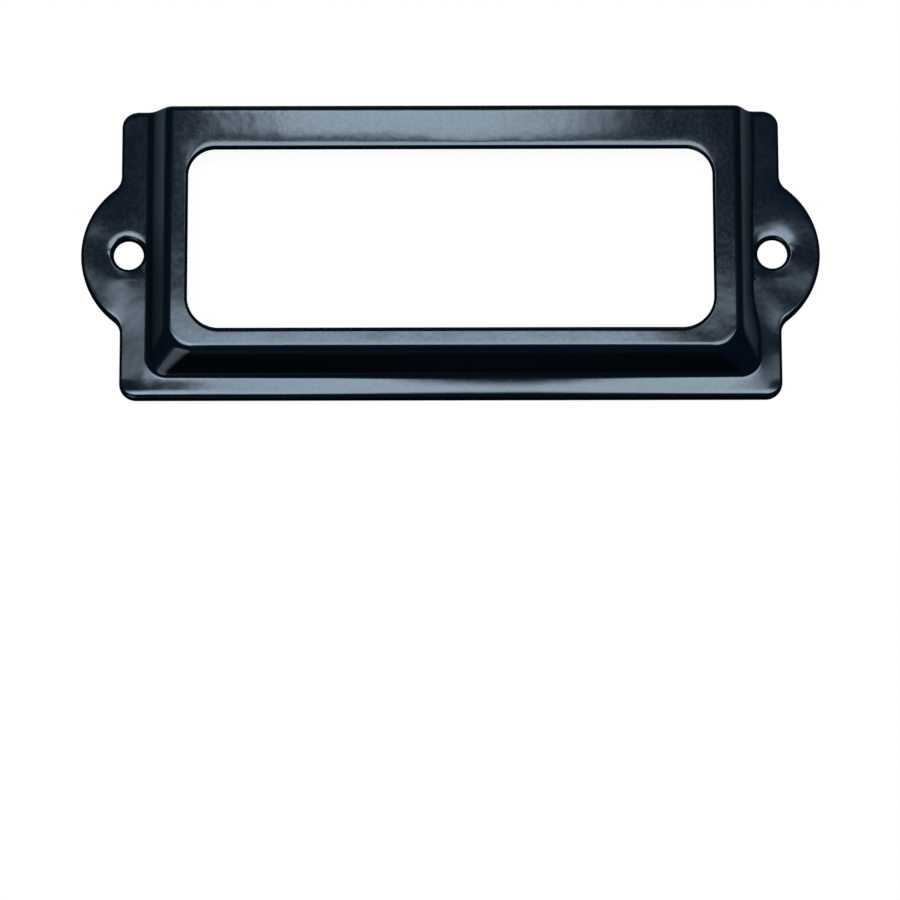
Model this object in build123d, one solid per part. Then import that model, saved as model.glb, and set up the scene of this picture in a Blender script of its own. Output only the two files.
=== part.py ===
from build123d import *
from math import atan2, tan
import os

# Label holder for a drawer front, pressed from one sheet of steel, in millimetres.
# The back lies on z = 0 and +Z points out of the drawer. The card slides in from +Y,
# where the press work runs out open. The origin is midway between the two screws.

# The sheet and its bends
sheet = 0.8
bend_inside = 0.3
raise_height = 2.4

# The window and the face around it
window_width = 58.16
window_height = 20.48
window_top_corner = 3.0
window_bottom_corner = 3.5
top_band = 5.03
side_band = 2.76
bottom_band = 2.62

# The sloping walls, from the face's crease to the foot on the flange
side_wall_run = 1.72
bottom_wall_run = 2.62
foot_corner_inside = 1.5
face_corner_inside = 2.25

# The flange, its ears and the screw holes
side_flange = 3.04
bottom_flange = 2.45
top_corner = 1.85
bottom_corner = 1.9
ear_radius = 9.65
ear_reach = 4.4
ear_blend = 1.8
screw_hole = 3.3
screw_from_tip = 5.28

# The cut edges: a straight land, with the front above it rolled over and a small break at the back
cut_land = 0.25
back_break = 0.08

# Where these sizes put the creases and the outline
face_half = window_width / 2 + side_band
foot_half = face_half + side_wall_run
plate_half = foot_half + side_flange
plate_height = top_band + window_height + bottom_band + bottom_wall_run + bottom_flange
plate_top = plate_height / 2
plate_bottom = -plate_height / 2
foot_y = plate_bottom + bottom_flange
face_y = foot_y + bottom_wall_run
window_y = plate_top - top_band - window_height / 2
ear_x = plate_half + ear_reach - ear_radius
screw_x = plate_half + ear_reach - screw_from_tip

# How far a crease on the back lies inside the same crease on the front
side_inset = sheet * tan(atan2(raise_height, side_wall_run) / 2)
bottom_inset = sheet * tan(atan2(raise_height, bottom_wall_run) / 2)
corner_inset = (side_inset + bottom_inset) / 2

# The press forms are longer than the plate and are trimmed to it
run_out = 2 * sheet + raise_height
near = 0.001


def crease_outline(half_width, bottom, corner, level):
    """One crease of the raised face, flat, with round lower corners and run out past the top edge."""
    length = plate_top + run_out - bottom
    outline = Pos(0, bottom + length / 2) * Rectangle(2 * half_width, length)
    lower = outline.vertices().group_by(Axis.Y)[0]
    return Pos(0, 0, level) * fillet(lower, corner)


def crease_edges(form, level):
    """The creases of a form at one level, without the ends that are trimmed off."""
    flat = form.edges().filter_by_position(Axis.Z, level - near, level + near)
    return flat.filter_by_position(Axis.X, -foot_half, foot_half).filter_by_position(
        Axis.Y, plate_bottom, plate_top
    )


def press_form(level, inset, foot_corner, face_corner, foot_bend, face_bend):
    """A block whose upper side is one side of the bent sheet: a flange at a level and the raised face."""
    side, bottom = inset
    foot = crease_outline(foot_half - side, foot_y + bottom, foot_corner, level)
    face = crease_outline(face_half - side, face_y + bottom, face_corner, level + raise_height)
    raised = loft([foot, face], ruled=True)
    block = Box(
        2 * (plate_half + ear_reach + run_out),
        plate_height + 4 * run_out,
        run_out,
        align=(Align.CENTER, Align.CENTER, Align.MAX),
    )
    form = Pos(0, 0, level) * block + raised
    form = fillet(crease_edges(form, level + raise_height), face_bend)
    return fillet(crease_edges(form, level), foot_bend)


def bent_sheet():
    """The sheet between the front form and the back form."""
    bend_outside = bend_inside + sheet
    front = press_form(
        sheet,
        (0, 0),
        foot_corner_inside + corner_inset,
        face_corner_inside + corner_inset,
        bend_inside,
        bend_outside,
    )
    back = press_form(
        0,
        (side_inset, bottom_inset),
        foot_corner_inside,
        face_corner_inside,
        bend_outside,
        bend_inside,
    )
    return front - back


def plate_outline():
    """The flange with two round ears that run into it in hollow blends."""
    plate = Rectangle(2 * plate_half, plate_height)
    rows = plate.vertices().group_by(Axis.Y)
    plate = fillet(rows[-1], top_corner)
    plate = fillet(plate.vertices().group_by(Axis.Y)[0], bottom_corner)
    ears = Pos(-ear_x, 0) * Circle(ear_radius) + Pos(ear_x, 0) * Circle(ear_radius)
    outline = plate + ears
    roots = [v for v in outline.vertices() if abs(v.X) > plate_half - near and abs(v.Y) < ear_radius]
    return fillet(roots, ear_blend)


def window_outline():
    """The window that shows the card, with slightly rounder lower corners."""
    window = Pos(0, window_y) * Rectangle(window_width, window_height)
    window = fillet(window.vertices().group_by(Axis.Y)[-1], window_top_corner)
    return fillet(window.vertices().group_by(Axis.Y)[0], window_bottom_corner)


def blank():
    """The cut outline with its window and screw holes, as deep as the press work."""
    screws = Pos(-screw_x, 0) * Circle(screw_hole / 2) + Pos(screw_x, 0) * Circle(screw_hole / 2)
    return extrude(plate_outline() - window_outline() - screws, sheet + raise_height)


def cut_edges(frame, side):
    """Edges where the upright cuts meet the front of the sheet, side 1, or its back, side -1."""
    cuts = frame.faces().filter_by(lambda face: abs(face.normal_at().Z) < near)
    skin = frame.faces().filter_by(lambda face: face.normal_at().Z * side > near)
    return cuts.edges() & skin.edges()


def label_frame():
    """The finished holder: bent, cut, rolled over at the front of every cut and broken at the back."""
    frame = bent_sheet() & blank()
    frame = fillet(cut_edges(frame, 1), sheet - cut_land)
    return chamfer(cut_edges(frame, -1), back_break)


os.makedirs("parts", exist_ok=True)
export_step(label_frame(), "parts/label_frame.step")
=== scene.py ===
import math

import bpy
import numpy as np
from mathutils import Matrix, Vector
from mathutils.geometry import delaunay_2d_cdt
from mathutils.kdtree import KDTree


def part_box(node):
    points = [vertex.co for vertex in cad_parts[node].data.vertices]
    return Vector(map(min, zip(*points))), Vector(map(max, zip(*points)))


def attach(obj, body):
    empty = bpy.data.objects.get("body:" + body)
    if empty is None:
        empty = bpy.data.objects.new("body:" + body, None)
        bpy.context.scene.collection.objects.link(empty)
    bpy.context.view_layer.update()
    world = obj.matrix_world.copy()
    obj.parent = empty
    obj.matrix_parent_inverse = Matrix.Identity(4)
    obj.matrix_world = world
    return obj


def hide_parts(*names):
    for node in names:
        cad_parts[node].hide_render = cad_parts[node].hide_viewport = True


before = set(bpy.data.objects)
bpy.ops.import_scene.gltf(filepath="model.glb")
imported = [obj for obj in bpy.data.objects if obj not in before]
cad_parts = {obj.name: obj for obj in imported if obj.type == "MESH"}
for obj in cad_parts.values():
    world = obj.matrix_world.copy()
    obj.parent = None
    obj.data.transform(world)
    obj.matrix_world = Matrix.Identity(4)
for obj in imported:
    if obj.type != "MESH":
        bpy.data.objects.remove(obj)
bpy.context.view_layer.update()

MM = 0.001
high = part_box("label_frame")[1] / MM

# The camera stands below the holder's axis, 15.5 degrees off square, and aims lower than the holder
CAMERA_DISTANCE = 0.55
CAMERA_SIDE = -0.0001
CAMERA_TILT = math.radians(15.5)
CAMERA_AIM_BELOW = math.radians(2.25)
CAMERA_ROLL = math.radians(-0.12)
CAMERA_LENS = 197.9
SENSOR = 36.0

# The outline, the window and the screw holes, in millimetres, round the plate that the frame gives
EAR_TIP = high.x
PLATE_TOP = high.y
EAR_REACH = 4.4
EAR_RADIUS = 9.65
EAR_BLEND = 1.8
PLATE_HALF = EAR_TIP - EAR_REACH
EAR_X = EAR_TIP - EAR_RADIUS
TOP_CORNER = 1.85
BOTTOM_CORNER = 1.9
WINDOW_HALF = 29.08
WINDOW_TOP = PLATE_TOP - 5.03
WINDOW_BOTTOM = WINDOW_TOP - 20.48
WINDOW_TOP_CORNER = 3.0
WINDOW_BOTTOM_CORNER = 3.5
SCREW_X = 35.72
SCREW_RADIUS = 1.65

# The press work: the creases of the foot and of the face, and how gently the sheet takes each bend.
# It landed slightly to the right of the cut outline.
SHEET = 0.8
RAISE = high.z - SHEET
PRESS_SHIFT = 0.3
FOOT_HALF = 33.7
FOOT_Y = -13.9
FOOT_CORNER = 1.85
SIDE_RUN = 1.86
BOTTOM_RUN = 2.37
CORNER_GROWTH = 1.6
FOOT_EASE = 0.45
FACE_EASE = 0.8

# The right foot is drawn in beside the screw hole: how far, between which heights that begins and is full,
# and between which heights what share of it is lost again
WAIST = 0.95
WAIST_BEGINS = (-10, -4)
WAIST_WANES = (0, 12)
WAIST_LOSS = 0.5

# What the press left on the front only. The foot flares softly near its middle, and less up the wall. The
# band under the window leans up towards its right. The side flanges droop, the right one by a share only.
# The flange's lower corners lift and then fall to a lip. Pairs say between which places a mark comes in.
FLARE_SLOPE = math.tan(math.radians(7))
FLARE_REACH = 2.9
FLARE_X = 6
FLARE_SPREAD = 20
FLARE_BELOW = (4, 10)
FLARE_UP_WALL = (0.1, 0.9)
BAND_LEAN = math.tan(math.radians(0.75))
BAND_LEAN_REACH = 3.5
BAND_LEAN_X = (18, 28)
DROOP = math.tan(math.radians(0.9))
DROOP_EASE = 0.3
DROOP_BELOW = (6, 10)
DROOP_RIGHT = 0.35
CORNER_LIFT = math.tan(math.radians(2.2))
LIFT_START, LIFT_EASE = 0.5, 0.6
LIP, LIP_START, LIP_EASE = 1.3, 1.75, 0.35

# Where along the flange the corners lift, over what spread and by what share
LIFTS = ((-38, 4.5, 1.0), (-30, 7, 0.5), (37.5, 3, 1.0))

# The waves of the flats, each with its turn along x and along y in radians a millimetre, and its start
BROAD_WAVE, BROAD_WAVES = 0.0035, ((0.31, 0, 0.9), (0, 0.23, 0.4))
SLANT_WAVE, SLANT_WAVES = 0.0022, ((0.57, -0.21, 2.1),)
CROSS_WAVE, CROSS_WAVES = 0.0015, ((0.17, 0.71, 5.0),)
EAR_WAVE, EAR_WAVES = 0.012, ((0.71, 0.35, 0.6), (-0.31, 0.66, 1.1))
EAR_WAVE_X = (34, 37)
EAR_WAVE_Y = (-12, -9)

# The shallow funnel that the punch drew over each screw hole: where, how wide and how steep at the hole. It
# comes in between two heights round the hole, as shares of the distance from its centre. Under the hole
# lies a dent, which comes in and goes out with the distance down.
FUNNELS = ((-1, 1.2, math.tan(math.radians(21))), (1, 2.6, math.tan(math.radians(5.5))))
FUNNEL_COMES_IN = (-0.4, 0.8)
DENT = 0.03
DENT_COMES_IN = (0.3, 1.3)
DENT_GOES_OUT = (1.5, 2.9)
DENT_SPREAD = 1.4

# The funnels, the dents and the waves of the ears end over this width of the foot's bend
FLANGE_FADE = 0.8

# The cut edges: a tight roll, then slow fades that are strongest along the level edges, and a broken back.
# A fade says how far it turns at the roll, how far it reaches and how fast it dies. The fade over the
# window is weaker near its middle.
ROLL_RADIUS = 0.33
ROLL_RADIUS_ABOVE = 0.68
ROLL_RADIUS_BELOW = 0.65
ROLL_RADIUS_SILL = 0.66
ROLL_RADIUS_HOLE = 0.45
NEAR_FADE = (math.radians(4.0), 0.58, 2)
FAR_FADE = (math.radians(1.6), 2.1, 1)
LINTEL_FADE = 1.15
LINTEL_LOSS = 0.5
LINTEL_SPREAD = 13
BREAK = 0.08
ROLL_STEPS = (1, 0.84, 0.69, 0.55, 0.42, 0.3, 0.2, 0.11, 0.04, 0)
FADE_STEPS = (0.06, 0.14, 0.24, 0.36, 0.5, 0.66, 0.83, 1.0)

# How finely the flats, the bends, the edges and the rings round the screw holes are meshed, and how far
# each kind of point keeps clear of those before it
FLAT_STEP = 1.1
EDGE_STEP = 0.55
ARC_STEP = 0.28
ARC_LEAST = 6
FOOT_ROWS = (-0.9, -0.66, -0.48, -0.35, -0.25, -0.17, -0.1, -0.05, 0, 0.05, 0.1, 0.17, 0.25, 0.35, 0.48)
FACE_ROWS = (-0.75, -0.56, -0.42, -0.3, -0.2, -0.1, 0, 0.1, 0.2, 0.3, 0.42, 0.56, 0.75, 1.0, 1.35)
WALL_ROWS = (0.2, 0.4, 0.6, 0.8)
CORNER_STEPS = 25
RING_RAYS = 56
RING_STEP = 0.22
RING_COUNT = 8
CORNER_GAP = 0.2
BEND_GAP = 0.07
RING_GAP = 0.12
FLAT_GAP = 0.6 * FLAT_STEP


def camera():
    """A long lens that looks up the holder's face from below."""
    data = bpy.data.cameras.new("camera")
    data.sensor_width = SENSOR
    data.lens = CAMERA_LENS
    data.clip_start = 0.05
    seen_from = bpy.data.objects.new("camera", data)
    place = Vector((0, -math.sin(CAMERA_TILT), math.cos(CAMERA_TILT))) * CAMERA_DISTANCE
    place.x = CAMERA_SIDE
    turn = Matrix.Rotation(CAMERA_TILT - CAMERA_AIM_BELOW, 4, "X") @ Matrix.Rotation(CAMERA_ROLL, 4, "Z")
    seen_from.matrix_world = Matrix.Translation(place) @ turn
    bpy.context.scene.collection.objects.link(seen_from)
    bpy.context.scene.camera = seen_from
    return place


def smooth(value, start, end):
    """A smooth step from 0 at the start to 1 at the end."""
    share = np.clip((value - start) / (end - start), 0, 1)
    return share ** 2 * (3 - 2 * share)


def bell(value, middle, spread):
    """A soft hill of height 1 over its middle."""
    return np.exp(-(((value - middle) / spread) ** 2))


def outside(x, y, half, bottom, corner):
    """Signed distance of plan points outside a crease with straight sides and round lower corners."""
    across, down = np.abs(x) - half + corner, bottom + corner - y
    beyond = np.hypot(np.maximum(across, 0), np.maximum(down, 0))
    return beyond + np.minimum(np.maximum(across, down), 0) - corner


def drawn_in(x, y):
    """How far the right foot is drawn in at each plan point, less and less up the wall."""
    waist = WAIST * smooth(y, *WAIST_BEGINS) * (1 - WAIST_LOSS * smooth(y, *WAIST_WANES))
    return waist * smooth(x, FOOT_HALF - SIDE_RUN, FOOT_HALF)


def place_drawn_in(x, y):
    """Where points of the straight press form come to lie once its right foot is drawn in."""
    placed, tries, damping = x, 12, 1.4
    for _ in range(tries):
        placed = placed - (placed + drawn_in(placed, y) - x) / damping
    return placed


def climb(x, y):
    """How far each plan point lies inside the foot crease, measured up the wall, and the wall's run there."""
    x = x - PRESS_SHIFT
    x = np.abs(x) + drawn_in(x, y)
    drift_x, drift_y = SIDE_RUN + CORNER_GROWTH, BOTTOM_RUN + CORNER_GROWTH
    across, down = x - (FOOT_HALF - FOOT_CORNER), FOOT_Y + FOOT_CORNER - y
    # Round the corner a level line is an arc that grows and moves inward as it climbs
    half_b = FOOT_CORNER * CORNER_GROWTH - across * drift_x - down * drift_y
    a = drift_x ** 2 + drift_y ** 2 - CORNER_GROWTH ** 2
    c = across ** 2 + down ** 2 - FOOT_CORNER ** 2
    level = (half_b + np.sqrt(np.maximum(half_b ** 2 - a * c, 0))) / a
    held = np.clip(level, 0, 1)
    out_x, out_y = across + drift_x * held, down + drift_y * held
    reach = np.maximum(np.hypot(out_x, out_y), 1e-9)
    arc_run = (drift_x * out_x + drift_y * out_y) / reach - CORNER_GROWTH
    side, lower = (FOOT_HALF - x) / SIDE_RUN, (y - FOOT_Y) / BOTTOM_RUN
    on_arc = (out_x > 0) & (out_y > 0)
    level = np.where(on_arc, level, np.minimum(side, lower))
    run = np.where(on_arc, arc_run, np.where(side < lower, SIDE_RUN, BOTTOM_RUN))
    below = -outside(x, y, FOOT_HALF, FOOT_Y, FOOT_CORNER)
    above = run - outside(x, y, FOOT_HALF - SIDE_RUN, FOOT_Y + BOTTOM_RUN, FOOT_CORNER + CORNER_GROWTH)
    return np.where(level < 0, below, np.where(level > 1, above, level * run)), run


def eased(distance, reach):
    """A ramp that starts at zero with a soft turn, over a reach to both sides, instead of a corner."""
    share = np.clip((distance / reach + 1) / 2, 0, 1)
    return 2 * reach * share ** 3 * (1 - share / 2) + np.maximum(distance - reach, 0)


def press_form(x, y):
    """Height of the bare press form's front over each plan point."""
    climbed, run = climb(x, y)
    return SHEET + RAISE / run * (eased(climbed, FOOT_EASE) - eased(climbed - run, FACE_EASE))


def waved(x, y, height, waves):
    """The product of some waves over the sheet, at a height."""
    for along_x, along_y, start in waves:
        height = height * np.sin(along_x * x + along_y * y + start)
    return height


def ripple(x, y, on_flange):
    """The slight unevenness of the flats, stronger on the ears."""
    flats = waved(x, y, BROAD_WAVE, BROAD_WAVES)
    flats = flats + waved(x, y, SLANT_WAVE, SLANT_WAVES) + waved(x, y, CROSS_WAVE, CROSS_WAVES)
    ears = waved(x, y, EAR_WAVE, EAR_WAVES) * smooth(np.abs(x), *EAR_WAVE_X) * smooth(y, *EAR_WAVE_Y)
    return flats + ears * on_flange


def funnels(x, y):
    """How deep the funnels and dents round the screw holes lie."""
    depth = 0
    for side, reach, slope in FUNNELS:
        from_centre = np.maximum(np.hypot(x - side * SCREW_X, y), SCREW_RADIUS)
        sunk = slope * reach / 3 * np.clip(1 - (from_centre - SCREW_RADIUS) / reach, 0, 1) ** 3
        dent = DENT * smooth(-y, *DENT_COMES_IN) * (1 - smooth(-y, *DENT_GOES_OUT))
        dent = dent * bell(x, side * SCREW_X, DENT_SPREAD)
        depth = depth + sunk * smooth(y / from_centre, *FUNNEL_COMES_IN) + dent
    return depth


def marks(x, y):
    """What the front shows on top of the bare press form."""
    climbed, run = climb(x, y)
    on_flange = 1 - smooth(climbed, 0, FLANGE_FADE)
    middle = bell(x, FLARE_X, FLARE_SPREAD) * smooth(-y, *FLARE_BELOW)
    middle = middle * (1 - smooth(climbed / run, *FLARE_UP_WALL))
    flare = FLARE_SLOPE * FLARE_REACH / 2 * middle * np.clip(1 + climbed / FLARE_REACH, 0, 1) ** 2
    up_face = np.maximum(y - FOOT_Y - BOTTOM_RUN, 0)
    lean = BAND_LEAN * smooth(x, *BAND_LEAN_X) * BAND_LEAN_REACH * np.tanh(up_face / BAND_LEAN_REACH)
    beyond_foot = np.abs(x - PRESS_SHIFT) - FOOT_HALF - DROOP_EASE
    droop = DROOP * eased(beyond_foot, DROOP_EASE) * smooth(-y, *DROOP_BELOW)
    droop = droop * np.where(x < 0, 1, DROOP_RIGHT)
    below_foot = FOOT_Y - y
    lift = eased(below_foot - LIFT_START, LIFT_EASE) - LIP * eased(below_foot - LIP_START, LIP_EASE)
    lift = CORNER_LIFT * lift * sum(share * bell(x, at, spread) for at, spread, share in LIFTS)
    return flare - lean - droop + lift - funnels(x, y) * on_flange + ripple(x, y, on_flange)


def front(x, y):
    """Height of the sheet's front over each plan point, before its edges are rolled."""
    return press_form(x, y) + marks(x, y)


def normals_of(surface, x, y):
    """Unit normals of a surface that is given by its height over each plan point."""
    step = 1e-3
    slope_x = (surface(x + step, y) - surface(x - step, y)) / (2 * step)
    slope_y = (surface(x, y + step) - surface(x, y - step)) / (2 * step)
    normals = np.stack([-slope_x, -slope_y, np.ones_like(x)], axis=1)
    return normals / np.linalg.norm(normals, axis=1, keepdims=True)


def straight(start, end, stops=None):
    """Points from start towards end, without the end, each with the way out of the metal on its right."""
    start, end = np.array(start, float), np.array(end, float)
    length = np.linalg.norm(end - start)
    if stops is None:
        stops = np.linspace(0, length, max(2, round(length / EDGE_STEP) + 1))[:-1]
    along = (end - start) / length
    return start + np.outer(stops, along), np.tile([along[1], -along[0]], (len(stops), 1))


def arc(centre, radius, first, last, hollow=False):
    """Points on an arc between two angles in degrees, without the last, with their ways out of the metal."""
    count = max(ARC_LEAST, round(abs(math.radians(last - first)) * radius / ARC_STEP))
    angles = np.radians(np.linspace(first, last, count + 1)[:-1])
    rays = np.stack([np.cos(angles), np.sin(angles)], axis=1)
    return np.array(centre) + rays * radius, -rays if hollow else rays


def joined(*pieces):
    """One boundary from its pieces."""
    return tuple(np.concatenate(column) for column in zip(*pieces))


def row_offsets(run):
    """How far in from the foot crease the rows of points lie on a wall with the given run."""
    foot, face = np.array(FOOT_ROWS), run + np.array(FACE_ROWS)
    wall = foot[-1] + (face[0] - foot[-1]) * np.array(WALL_ROWS)
    return np.concatenate([foot, wall, face])


def half_outline(side):
    """The right half of the plate's edge upward, with points where one side's bends run out at its top."""
    blend_x = PLATE_HALF + EAR_BLEND
    blend_y = math.sqrt((EAR_RADIUS + EAR_BLEND) ** 2 - (blend_x - EAR_X) ** 2)
    lean = math.degrees(math.atan2(blend_y, blend_x - EAR_X))
    bottom_x, top_x = PLATE_HALF - BOTTOM_CORNER, PLATE_HALF - TOP_CORNER
    bends = FOOT_HALF - row_offsets(SIDE_RUN)
    if side == 1:
        bends = place_drawn_in(bends, PLATE_TOP)
    bends = bends + side * PRESS_SHIFT
    flats = np.arange(bends[-1] - EDGE_STEP, 0, -EDGE_STEP)
    top_stops = top_x - np.concatenate([[top_x], bends, flats])
    return joined(
        straight((0, -PLATE_TOP), (bottom_x, -PLATE_TOP)),
        arc((bottom_x, BOTTOM_CORNER - PLATE_TOP), BOTTOM_CORNER, -90, 0),
        straight((PLATE_HALF, BOTTOM_CORNER - PLATE_TOP), (PLATE_HALF, -blend_y)),
        arc((blend_x, -blend_y), EAR_BLEND, 180, 180 - lean, hollow=True),
        arc((EAR_X, 0), EAR_RADIUS, -lean, lean),
        arc((blend_x, blend_y), EAR_BLEND, 180 + lean, 180, hollow=True),
        straight((PLATE_HALF, blend_y), (PLATE_HALF, PLATE_TOP - TOP_CORNER)),
        arc((top_x, PLATE_TOP - TOP_CORNER), TOP_CORNER, 0, 90),
        straight((top_x, PLATE_TOP), (0, PLATE_TOP), top_stops),
        (np.array([[0, PLATE_TOP]]), np.array([[0.0, 1.0]])),
    )


def outline():
    """The edge of the plate with its ears, anticlockwise from the middle of its bottom."""
    halves = zip(half_outline(1), half_outline(-1))
    return tuple(np.concatenate([right, (left[1:-1] * (-1, 1))[::-1]]) for right, left in halves)


def window():
    """The edge of the window, clockwise, so that the metal lies on the left as it does along the outline."""
    half, top, bottom = WINDOW_HALF, WINDOW_TOP, WINDOW_BOTTOM
    above, below = WINDOW_TOP_CORNER, WINDOW_BOTTOM_CORNER
    return joined(
        straight((-half + above, top), (half - above, top)),
        arc((half - above, top - above), above, 90, 0, hollow=True),
        straight((half, top - above), (half, bottom + below)),
        arc((half - below, bottom + below), below, 0, -90, hollow=True),
        straight((half - below, bottom), (-half + below, bottom)),
        arc((-half + below, bottom + below), below, -90, -180, hollow=True),
        straight((-half, bottom + below), (-half, top - above)),
        arc((-half + above, top - above), above, 180, 90, hollow=True),
    )


def screw_hole(side):
    """The edge of a screw hole."""
    return arc((side * SCREW_X, 0), SCREW_RADIUS, 360, 0, hollow=True)


class Edge:
    """A cut edge: its points, their ways out of the metal, its roll's width and how strong its fades are."""

    def __init__(self, boundary, radius, near=0.0, far=0.0):
        self.points, self.outward = boundary
        size = np.ones(len(self.points))
        self.radius, self.near, self.far = radius * size, near * size, far * size

    def fade(self, number, distance):
        """The slow turn beyond the tight roll of the numbered points, and how deep it lies there."""
        turn = depth = 0
        for strength, (start, reach, power) in ((self.near[number], NEAR_FADE), (self.far[number], FAR_FADE)):
            left = np.maximum(1 - distance / reach, 0)
            turn = turn + strength * start * left ** power
            depth = depth + np.abs(strength) * start * reach / (power + 1) * left ** (power + 1)
        return turn, depth


class Rows:
    """Points of the sheet in plan, with what the rolled edges do to each."""

    def __init__(self):
        self.columns = [[] for _ in range(5)]
        self.loops = []
        self.count = 0

    def add(self, points, outward, turn, depth, back_inset=0.0):
        """Adds points and returns their numbers."""
        size = len(points)
        values = (points, outward, turn, depth, np.full(size, back_inset, float))
        for column, value in zip(self.columns, values):
            column.append(value)
        self.count += size
        return np.arange(self.count - size, self.count)

    def all(self):
        return [np.concatenate(column) for column in self.columns]

    def plan(self):
        return np.concatenate(self.columns[0])


def roll_edge(rows, edge):
    """Rows of points from a cut edge inward, over its tight roll and its near fade."""
    number = np.arange(len(edge.points))
    slow, sunk = edge.fade(number, 0)
    tight = edge.radius * (1 - np.sin(slow))
    for step in ROLL_STEPS:
        turn = slow + (math.pi / 2 - slow) * step
        inset = edge.radius * (1 - np.sin(turn))
        depth = edge.radius * (np.cos(slow) - np.cos(turn)) + sunk
        back_inset = BREAK * (1 - inset / edge.radius)
        made = rows.add(edge.points - edge.outward * inset[:, None], edge.outward, turn, depth, back_inset)
        if step == ROLL_STEPS[0]:
            rows.loops.append(made)
    for step in FADE_STEPS:
        distance = NEAR_FADE[1] * step
        turn, depth = edge.fade(number, distance)
        inset = tight + distance
        rows.add(edge.points - edge.outward * inset[:, None], edge.outward, turn, depth)


def nearest(points, known):
    """For each point the number of the nearest known one, and how far off that is."""
    tree = KDTree(len(known))
    for number, (x, y) in enumerate(known):
        tree.insert((x, y, 0), number)
    tree.balance()
    found = [tree.find((x, y, 0)) for x, y in points]
    return np.array([hit[1] for hit in found]), np.array([hit[2] for hit in found])


def bend_points():
    """Rows of points along both bends, down the sides, round the lower corners and along the bottom."""
    made = []
    drift = np.array([-(SIDE_RUN + CORNER_GROWTH), BOTTOM_RUN + CORNER_GROWTH])
    start = np.array([FOOT_HALF - FOOT_CORNER, FOOT_Y + FOOT_CORNER])
    for angle in np.linspace(0, math.pi / 2, CORNER_STEPS):
        out = np.array([math.cos(angle), -math.sin(angle)])
        run = -drift @ out - CORNER_GROWTH
        offsets = row_offsets(run)[:, None]
        held = np.clip(offsets / run, 0, 1)
        radius = FOOT_CORNER + CORNER_GROWTH * held - (offsets - held * run)
        made.append((start + drift * held + radius * out)[radius[:, 0] > 0])
    for x, y in made[0]:
        column = np.arange(PLATE_TOP, y + CORNER_GAP, -EDGE_STEP)
        made.append(np.stack([np.full_like(column, x), column], axis=1))
    for x, y in made[CORNER_STEPS - 1]:
        row = np.arange(0, x - CORNER_GAP, EDGE_STEP)
        made.append(np.stack([row, np.full_like(row, y)], axis=1))
    made = np.concatenate(made)
    made = np.concatenate([made, made[made[:, 0] > 0] * (-1, 1)])
    x, y = made[:, 0], made[:, 1]
    return np.stack([place_drawn_in(x, y) + PRESS_SHIFT, y], axis=1)


def ring_points():
    """Rings of points over the funnel of each screw hole."""
    angles = np.linspace(0, 2 * math.pi, RING_RAYS, endpoint=False)
    radii = SCREW_RADIUS + ROLL_RADIUS_HOLE + RING_STEP * np.arange(1, RING_COUNT + 1)
    rings = np.array([(SCREW_X + r * math.cos(a), r * math.sin(a)) for r in radii for a in angles])
    return np.concatenate([rings, rings * (-1, 1)])


def flat_points():
    """A grid of points over the flange, the ears and the face."""
    x, y = np.meshgrid(np.arange(-EAR_TIP, EAR_TIP, FLAT_STEP), np.arange(-PLATE_TOP, PLATE_TOP, FLAT_STEP))
    return np.stack([x.ravel(), y.ravel()], axis=1)


def in_metal(points):
    """Which plan points lie inside the cut blank."""
    x, y = np.abs(points[:, 0]), points[:, 1]
    plate = (x < PLATE_HALF) & (np.abs(y) < PLATE_TOP)
    ear = np.hypot(x - EAR_X, y) < EAR_RADIUS
    opening = (x < WINDOW_HALF) & (y < WINDOW_TOP) & (y > WINDOW_BOTTOM)
    return (plate | ear) & ~opening & (np.hypot(x - SCREW_X, y) > SCREW_RADIUS)


def cut_edges():
    """The outline, the window and the screw holes, each with its own roll and fades."""
    edge, opening = outline(), window()
    rising, sinking = np.maximum(edge[1][:, 1], 0) ** 2, np.minimum(edge[1][:, 1], 0) ** 2
    radius = ROLL_RADIUS + (ROLL_RADIUS_ABOVE - ROLL_RADIUS) * rising
    radius = radius + (ROLL_RADIUS_BELOW - ROLL_RADIUS) * sinking
    across = opening[1][:, 1]
    sill, lintel = np.maximum(across, 0) ** 2, np.minimum(across, 0) ** 2
    opening_radius = ROLL_RADIUS + (ROLL_RADIUS_SILL - ROLL_RADIUS) * sill
    lintel_far = lintel * (LINTEL_FADE - LINTEL_LOSS * bell(opening[0][:, 0], 0, LINTEL_SPREAD))
    return [
        Edge(edge, radius, near=np.sqrt(sinking) + rising),
        Edge(opening, opening_radius, near=lintel, far=lintel_far),
        Edge(screw_hole(-1), ROLL_RADIUS_HOLE),
        Edge(screw_hole(1), ROLL_RADIUS_HOLE),
    ]


def gather():
    """All the plan points of the sheet, each kind kept clear of those before it."""
    rows = Rows()
    edges = cut_edges()
    for edge in edges:
        roll_edge(rows, edge)
    for points, gap in ((bend_points(), BEND_GAP), (ring_points(), RING_GAP), (flat_points(), FLAT_GAP)):
        points = points[in_metal(points)]
        points = points[nearest(points, rows.plan())[1] > gap]
        found = [nearest(points, edge.points) for edge in edges]
        closest = np.argmin([distance for _, distance in found], axis=0)
        for k, edge in enumerate(edges):
            mine = closest == k
            number, here = found[k][0][mine], points[mine]
            inset = np.einsum("ij,ij->i", edge.points[number] - here, edge.outward[number])
            distance = inset - edge.radius[number] * (1 - np.sin(edge.fade(number, 0)[0]))
            clear = distance > gap
            turn, depth = edge.fade(number[clear], distance[clear])
            rows.add(here[clear], edge.outward[number[clear]], turn, depth)
    return rows


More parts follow.
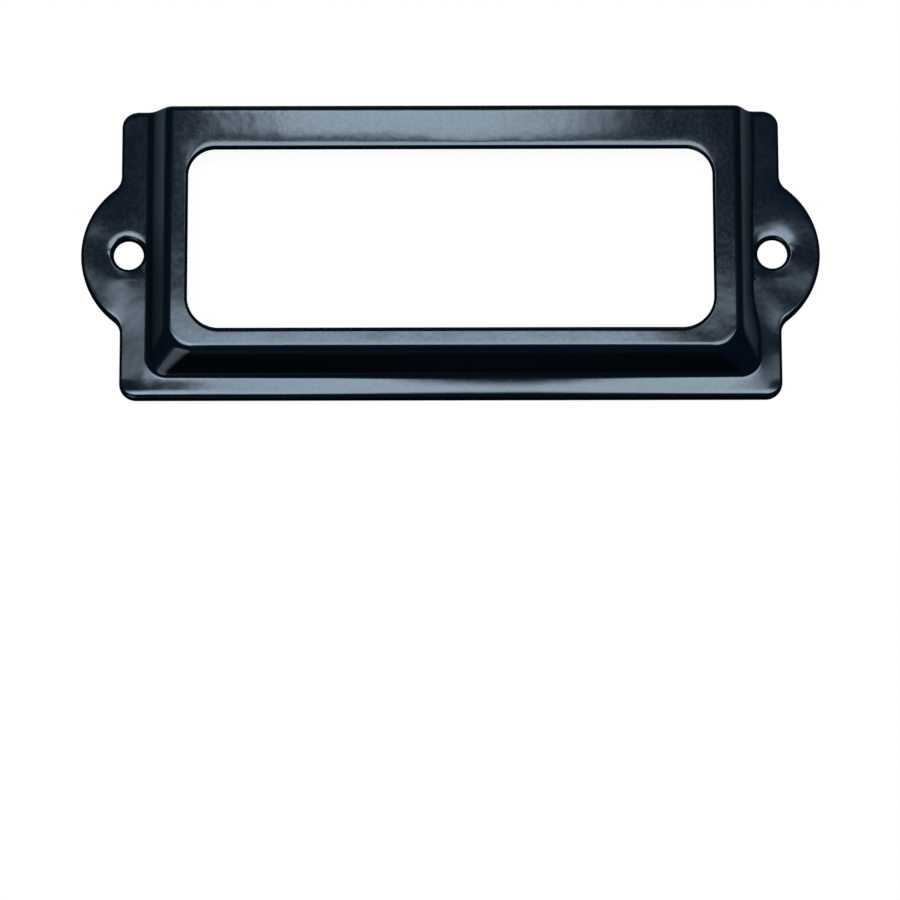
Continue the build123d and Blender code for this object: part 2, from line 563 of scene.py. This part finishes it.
def triangles(rows):
    """The sheet's plan cut into triangles between the points, without its window, holes and surroundings."""
    plan = rows.plan()
    edges = [(int(a), int(b)) for loop in rows.loops for a, b in zip(loop, np.roll(loop, -1))]
    fill, closeness, with_origins = 0, 1e-6, True
    made = delaunay_2d_cdt([Vector(p) for p in plan], edges, [], fill, closeness, with_origins)
    faces, origins = made[2:4]
    number = np.array([origin[0] if origin else -1 for origin in origins])
    faces = number[np.array(faces)]
    cut = np.zeros(len(plan) + 1, bool)
    cut[np.concatenate(rows.loops)] = True
    faces = faces[~cut[faces].all(axis=1)]
    a, b, c = (plan[faces[:, k]] for k in range(3))
    turned = (b[:, 0] - a[:, 0]) * (c[:, 1] - a[:, 1]) < (b[:, 1] - a[:, 1]) * (c[:, 0] - a[:, 0])
    faces[turned] = faces[turned][:, ::-1]
    return faces


def pressed_frame():
    """The whole holder as one closed mesh: front, back and the cut between them."""
    rows = gather()
    plan, outward, turn, depth, back_inset = rows.all()
    faces = triangles(rows)
    count = len(plan)

    x, y = plan[:, 0], plan[:, 1]
    normals, bare = normals_of(front, x, y), normals_of(press_form, x, y)
    way_out = np.concatenate([outward, np.zeros((count, 1))], axis=1)
    form = np.stack([x, y, press_form(x, y)], axis=1)
    front_side = np.stack([x, y, front(x, y)], axis=1) - normals * depth[:, None]
    front_shade = normals * np.cos(turn)[:, None] + way_out * np.sin(turn)[:, None]
    back_side = form - bare * SHEET - way_out * back_inset[:, None]
    loops = np.concatenate(rows.loops)
    land = form[loops] - bare[loops] * (SHEET - BREAK)

    solid = [faces, faces[:, ::-1] + count]
    place = np.full(count, -1)
    place[loops] = 2 * count + np.arange(len(loops))
    number = np.arange(count)
    for loop in rows.loops:
        a, b = loop, np.roll(loop, -1)
        for upper, lower in ((number, place), (place, number + count)):
            solid.append(np.stack([lower[a], lower[b], upper[b]], axis=1))
            solid.append(np.stack([lower[a], upper[b], upper[a]], axis=1))
    points = np.concatenate([front_side, back_side, land]) * MM
    shades = np.concatenate([front_shade, -bare, way_out[loops]])

    mesh = bpy.data.meshes.new("pressed_frame")
    mesh.from_pydata(points.tolist(), [], np.concatenate(solid).tolist())
    mesh.validate()
    mesh.polygons.foreach_set("use_smooth", [True] * len(mesh.polygons))
    mesh.normals_split_custom_set_from_vertices(shades.tolist())
    # The side walls' painted light, kept on each point for the matt coat's colour
    light_paint = np.concatenate([wall_painted_light(x, y), np.zeros(count + len(loops))])
    for name, values in (("steep", 1 - np.abs(shades[:, 2])), ("painted_wall_light", light_paint)):
        mesh.attributes.new(name, "FLOAT", "POINT").data.foreach_set("value", values)
    return mesh


# Painted light on the side walls, painted into the matt coat's colour: on the left and on the right one, how
# much is painted at the foot, how much more at the face, and between which shares of the wall it comes in. It
# ends near the face, dies round the lower corners and rises over the foot, and the left wall gets a share of
# it near its lower end. The last value is about what the best point gets.
WALL_LIGHTS = ((0.3, 1.1, (0, 0.4)), (0.4, 1.3, (-0.15, 0.15)))
WALL_LIGHT_ENDS = (0.75, 1.05)
WALL_LIGHT_MARGIN = 0.5
WALL_LIGHT_CORNER = 1.2
WALL_LIGHT_RISE = 4
LEFT_LIGHT_BELOW = 0.4
LEFT_LIGHT_Y = (-4, 7)
WALL_LIGHT_MOST = 1.4


def wall_painted_light(x, y):
    """How much painted light each point gets in the matt coat's colour: only the side walls get it, and most
    near the face.
    """
    climbed, run = climb(x, y)
    level = climbed / run
    at_side = np.abs(x - PRESS_SHIFT) > FOOT_HALF - SIDE_RUN - WALL_LIGHT_MARGIN
    on_wall = (1 - smooth(level, *WALL_LIGHT_ENDS)) * (1 - smooth(run - SIDE_RUN, 0, WALL_LIGHT_CORNER))
    on_wall = on_wall * at_side * smooth(y - FOOT_Y, 0, WALL_LIGHT_RISE)
    left, right = (
        (at_foot + gained * level) * smooth(level, *comes_in) for at_foot, gained, comes_in in WALL_LIGHTS
    )
    left = left * (LEFT_LIGHT_BELOW + (1 - LEFT_LIGHT_BELOW) * smooth(y, *LEFT_LIGHT_Y))
    return on_wall * np.where(x < 0, left, right)


class Value:
    """A socket that takes part in ordinary arithmetic, each step of which becomes a Math node."""

    def __init__(self, paint, socket):
        self.paint = paint
        self.socket = socket

    def __add__(self, other):
        return self.paint.math("ADD", self, other)

    def __sub__(self, other):
        return self.paint.math("SUBTRACT", self, other)

    def __rsub__(self, other):
        return self.paint.math("SUBTRACT", other, self)

    def __mul__(self, other):
        return self.paint.math("MULTIPLY", self, other)

    def __truediv__(self, other):
        return self.paint.math("DIVIDE", self, other)

    def __rtruediv__(self, other):
        return self.paint.math("DIVIDE", other, self)

    __radd__ = __add__
    __rmul__ = __mul__

    def over(self, start, end):
        """A smooth step from 0 at the start to 1 at the end."""
        settings = {"interpolation_type": "SMOOTHSTEP"}
        step = self.paint.node("ShaderNodeMapRange", settings, Value=self, From_Min=start, From_Max=end)
        return Value(self.paint, step.outputs[0])


class Paint:
    """The nodes of one material or lamp."""

    def __init__(self, owner):
        owner.use_nodes = True
        self.tree = owner.node_tree
        self.tree.nodes.clear()

    def node(self, kind, settings=None, **sockets):
        """A node of a type, with its settings made first and then its sockets set or linked."""
        made = self.tree.nodes.new(kind)
        for name, setting in (settings or {}).items():
            setattr(made, name, setting)
        for name, value in sockets.items():
            key = int(name[1:]) if name[0] == "i" and name[1:].isdigit() else name.replace("_", " ")
            socket = made.inputs[key]
            if isinstance(value, Value):
                value = value.socket
            if isinstance(value, bpy.types.NodeSocket):
                self.tree.links.new(value, socket)
            else:
                socket.default_value = value
        return made

    def math(self, operation, first, second):
        """One Math node on two sockets or numbers."""
        made = self.node("ShaderNodeMath", {"operation": operation}, i0=first, i1=second)
        return Value(self, made.outputs[0])

    def noise(self, place, size, detail=2.0):
        """A soft random pattern whose blotches are about the given size in millimetres."""
        made = self.node("ShaderNodeTexNoise", Vector=place, Scale=1 / (size * MM), Detail=detail)
        return Value(self, made.outputs["Fac"])


# The enamel's colour, its cast and its mirror, which the haze and steep turns blur
ENAMEL_COLOUR = (0.001, 0.0035, 0.008, 1)
ENAMEL_CAST = (0.66, 0.84, 1.0, 1)
ENAMEL_IOR = 1.42
ENAMEL_ROUGHNESS = 0.07
HAZE_ROUGHNESS = 0.02
STEEP_ROUGHNESS = 0.14
STEEP_BLURS = (0.1, 0.2)

# The dull coat where the sheet turns steeply away: between which steepnesses it comes in, how much the haze
# adds to it, and its colour without and with the painted light on the side walls
STEEP_DULLS = (0.14, 0.31)
HAZE_DULLS = 0.06
MATT_DEEP = (0.001, 0.0015, 0.0022, 1)
MATT_PAINTED_LIT = (0.03, 0.046, 0.062, 1)

# The haze and the waves of the enamel's skin, with the sizes of their blotches in millimetres
HAZE_SIZE = 0.45
HAZE_DETAIL = 3.0
HAZE_LEVELS = (0.35, 0.7)
FINE_PEEL_SIZE, FINE_PEEL = 0.6, 0.6
BROAD_PEEL_SIZE, BROAD_PEEL = 3.5, 9
PEEL_DEPTH = 0.0012


def black_enamel():
    """Glossy black enamel with a faint blue cast, thin and dull where the sheet turns steeply away, and with
    painted light on the side walls in the dull coat's colour.
    """
    material = bpy.data.materials.new("black_enamel")
    paint = Paint(material)
    place = paint.node("ShaderNodeTexCoord").outputs["Object"]
    steep, painted_wall_light = (
        Value(paint, paint.node("ShaderNodeAttribute", {"attribute_name": name}).outputs["Fac"])
        for name in ("steep", "painted_wall_light")
    )
    dull = steep.over(*STEEP_DULLS)
    haze = paint.noise(place, HAZE_SIZE, HAZE_DETAIL).over(*HAZE_LEVELS)
    peel = paint.noise(place, FINE_PEEL_SIZE) * FINE_PEEL + paint.noise(place, BROAD_PEEL_SIZE) * BROAD_PEEL
    height = paint.node("ShaderNodeBump", Strength=1.0, Distance=PEEL_DEPTH * MM, Height=peel)
    enamel = paint.node(
        "ShaderNodeBsdfPrincipled",
        Base_Color=ENAMEL_COLOUR,
        Roughness=ENAMEL_ROUGHNESS + haze * HAZE_ROUGHNESS + steep.over(*STEEP_BLURS) * STEEP_ROUGHNESS,
        IOR=ENAMEL_IOR,
        Specular_Tint=ENAMEL_CAST,
        Normal=height.outputs[0],
    )
    # Painted light: the matt colour is painted paler where the side walls get the painted light
    lit = painted_wall_light / WALL_LIGHT_MOST
    shade = paint.node("ShaderNodeMix", {"data_type": "RGBA"}, i0=lit, i6=MATT_DEEP, i7=MATT_PAINTED_LIT)
    matt = paint.node(
        "ShaderNodeBsdfPrincipled",
        Base_Color=shade.outputs[2],
        Roughness=1.0,
        Specular_IOR_Level=0.0,
    )
    thin = dull + haze * HAZE_DULLS
    cover = paint.node("ShaderNodeMixShader", Fac=thin, i1=enamel.outputs[0], i2=matt.outputs[0])
    paint.node("ShaderNodeOutputMaterial", Surface=cover.outputs[0])
    return material


# The floor: half its length in metres, its colour, and how much of what a viewer sees of it is an even glow
FLOOR_REACH = 2.0
FLOOR_COLOUR = (0.95, 0.95, 0.95, 1)
FLOOR_GLOW = 0.95


def floor():
    """A plain pale floor under the holder's back."""
    material = bpy.data.materials.new("pale_floor")
    paint = Paint(material)
    rays = paint.node("ShaderNodeLightPath")
    seen = Value(paint, rays.outputs["Is Camera Ray"])
    seen = paint.math("MAXIMUM", seen, Value(paint, rays.outputs["Is Glossy Ray"]))
    seen = paint.math("MAXIMUM", seen, Value(paint, rays.outputs["Is Transmission Ray"]))
    lit = paint.node("ShaderNodeBsdfDiffuse", Color=FLOOR_COLOUR)
    glow = paint.node("ShaderNodeEmission", Color=(1, 1, 1, 1), Strength=1.0)
    mix = paint.node("ShaderNodeMixShader", Fac=seen * FLOOR_GLOW, i1=lit.outputs[0], i2=glow.outputs[0])
    paint.node("ShaderNodeOutputMaterial", Surface=mix.outputs[0])
    mesh = bpy.data.meshes.new("floor")
    corners = [(x * FLOOR_REACH, y * FLOOR_REACH, 0) for x, y in ((-1, -1), (1, -1), (1, 1), (-1, 1))]
    mesh.from_pydata(corners, [], [(0, 1, 2, 3)])
    mesh.materials.append(material)
    plane = bpy.data.objects.new("floor", mesh)
    bpy.context.scene.collection.objects.link(plane)


# Where the flat parts mirror each softbox to the camera: left, right, bottom and top, in millimetres from the
# holder's centre. A softbox glows less towards its sides, over the given shares of its width and height. It
# spreads out towards its top by a share of its width, and its bottom and its top glow by different shares.
LAMP_HEIGHT = 0.8
UPPER_BOX = (-24.2, 25.4, 1.5, 60.0)
UPPER_EDGES = (0.13, 0.42, 0.07, 0.35)
UPPER_SPREAD = 0.25
UPPER_GLOW = (0.85, 1.0)
UPPER_RADIANCE = 15.0
LOWER_BOX = (-60.0, 51.0, -78.0, -1.8)
LOWER_EDGES = (0.36, 0.28, 0.32, 0.12)
LOWER_SPREAD = 0.0
LOWER_GLOW = (1.0, 0.88)
LOWER_RADIANCE = 14.0
LEFT_BOX = (-92.0, -22.0, -100.0, -18.0)
RIGHT_BOX = (22.0, 92.0, -100.0, -18.0)
SIDE_EDGES = (0.3, 0.3, 0.15, 0.15)
SIDE_SPREAD = 0.0
SIDE_GLOW = (1.0, 1.0)
SIDE_RADIANCE = 12.0
SIDE_HEIGHT = 0.78

# The other lamps, in metres: where each is, half its width and height, and how bright its face is
CEILING = (0, 0.1, LAMP_HEIGHT), (0.33, 0.33), 0.12
CEILING_COLOUR = (0.4, 0.65, 1.0)
LOW_SPOT = (-0.5, -0.88, 0.68), (0.34, 0.34), 3.0
FILL = (0.0, 0.25, 0.9), (0.45, 0.45), 3.0
ROOM_COLOUR = (0.02, 0.025, 0.03, 1)


def lamp(name, place, half_size, radiance, shape="ELLIPSE", colour=(1, 1, 1), seen_in_gloss=True):
    """A soft lamp that faces the holder, given by the brightness of its face."""
    data = bpy.data.lights.new(name, "AREA")
    data.shape = shape
    data.size, data.size_y = 2 * half_size[0], 2 * half_size[1]
    area = half_size[0] * half_size[1] * (4 if shape == "RECTANGLE" else math.pi)
    data.energy = radiance * math.pi * area
    data.color = colour
    made = bpy.data.objects.new(name, data)
    made.location = place
    made.rotation_euler = (-Vector(place)).to_track_quat("-Z", "Y").to_euler()
    made.visible_glossy = seen_in_gloss
    bpy.context.scene.collection.objects.link(made)
    return made


def softbox(name, seen_at, edges, spread, glows, eye, radiance, height=LAMP_HEIGHT):
    """A level softbox that the flat parts mirror to the camera over the given patch of the holder."""
    left, right, bottom, top = seen_at
    reach = (eye.z + height) / eye.z
    middle = Vector(((left + right) / 2, (bottom + top) / 2, 0)) * MM
    image = eye + (middle - eye) * reach
    half_size = ((right - left) / 2 * MM * reach * (1 + spread), (top - bottom) / 2 * MM * reach)
    made = lamp(name, (image.x, image.y, height), half_size, radiance, shape="RECTANGLE")
    made.rotation_euler = (0, 0, 0)
    paint = Paint(made.data)
    place = paint.node("ShaderNodeNewGeometry").outputs["Parametric"]
    split = paint.node("ShaderNodeSeparateXYZ", Vector=place)
    across, up = Value(paint, split.outputs[0]), Value(paint, split.outputs[1])
    across = (across - 0.5) * (1 + spread) / (up * spread + 1) + 0.5
    glow = across.over(0, edges[0]) * (1 - across).over(0, edges[1])
    glow = glow * up.over(0, edges[2]) * (1 - up).over(0, edges[3])
    glow = glow * (up * (glows[1] - glows[0]) + glows[0])
    colour = paint.node("ShaderNodeMix", {"data_type": "RGBA"}, i0=glow, i6=(0, 0, 0, 1), i7=(1, 1, 1, 1))
    face = paint.node("ShaderNodeEmission", Color=colour.outputs[2], Strength=1.0)
    paint.node("ShaderNodeOutputLight", Surface=face.outputs[0])


def light(eye):
    """Softboxes, a dim ceiling and a spot for the enamel to mirror, and a fill that only lights colours."""
    softbox("upper_softbox", UPPER_BOX, UPPER_EDGES, UPPER_SPREAD, UPPER_GLOW, eye, UPPER_RADIANCE)
    softbox("lower_softbox", LOWER_BOX, LOWER_EDGES, LOWER_SPREAD, LOWER_GLOW, eye, LOWER_RADIANCE)
    for name, box in (("left_softbox", LEFT_BOX), ("right_softbox", RIGHT_BOX)):
        softbox(name, box, SIDE_EDGES, SIDE_SPREAD, SIDE_GLOW, eye, SIDE_RADIANCE, SIDE_HEIGHT)
    lamp("ceiling", *CEILING, colour=CEILING_COLOUR)
    lamp("low_spot", *LOW_SPOT)
    lamp("fill", *FILL, seen_in_gloss=False)
    world = bpy.data.worlds.new("studio")
    world.use_nodes = True
    world.node_tree.nodes["Background"].inputs["Color"].default_value = ROOM_COLOUR
    bpy.context.scene.world = world


eye = camera()
floor()
light(eye)
holder = bpy.data.objects.new("pressed_label_frame", pressed_frame())
holder.data.materials.append(black_enamel())
bpy.context.scene.collection.objects.link(holder)
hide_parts("label_frame")
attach(holder, "root")
bpy.context.scene.view_settings.view_transform = "Standard"
